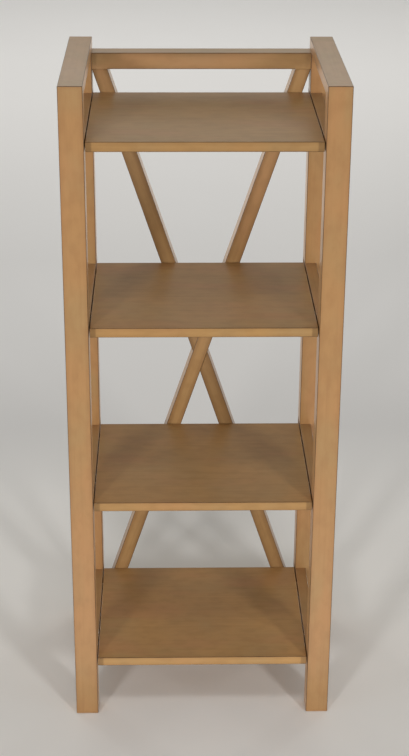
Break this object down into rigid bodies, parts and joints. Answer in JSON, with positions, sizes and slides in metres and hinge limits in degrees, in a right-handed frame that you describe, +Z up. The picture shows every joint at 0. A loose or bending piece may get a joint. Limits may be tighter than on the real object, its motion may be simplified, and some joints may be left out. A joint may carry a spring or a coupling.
{
  "type": "etagere",
  "caption": "Tall open etagere: ladder side frames of square posts carry open shelves, with a crossed half-lapped brace at the back and a low rim round the top shelf.",
  "frame": {"origin": "on the floor under the middle of the footprint", "axes": "+Z up, -Y out of the front, +X to the right seen from the front"},
  "size_m": [0.419, 0.326, 1.063],
  "materials": {
    "lacquered_frame": "satin tan lacquer with darkened arrises",
    "lacquered_board": "satin tan lacquer with darkened arrises",
    "dowel_wood": "bare beech"
  },
  "bodies": {
    "root": {"front_left_post": "lacquered_frame", "front_right_post": "lacquered_frame", "rear_left_post": "lacquered_frame", "rear_right_post": "lacquered_frame", "left_top_rail": "lacquered_frame", "right_top_rail": "lacquered_frame", "left_rail_top_shelf": "lacquered_frame", "left_rail_upper_shelf": "lacquered_frame", "left_rail_lower_shelf": "lacquered_frame", "left_rail_bottom_shelf": "lacquered_frame", "right_rail_top_shelf": "lacquered_frame", "right_rail_upper_shelf": "lacquered_frame", "right_rail_lower_shelf": "lacquered_frame", "right_rail_bottom_shelf": "lacquered_frame", "top_shelf": "lacquered_board", "upper_shelf": "lacquered_board", "lower_shelf": "lacquered_board", "bottom_shelf": "lacquered_board", "rear_top_rail": "lacquered_frame", "rear_bottom_rail": "lacquered_frame", "brace_rising_left": "lacquered_frame", "brace_rising_right": "lacquered_frame", "shelf_dowels": "dowel_wood"}
  },
  "joints": []
}
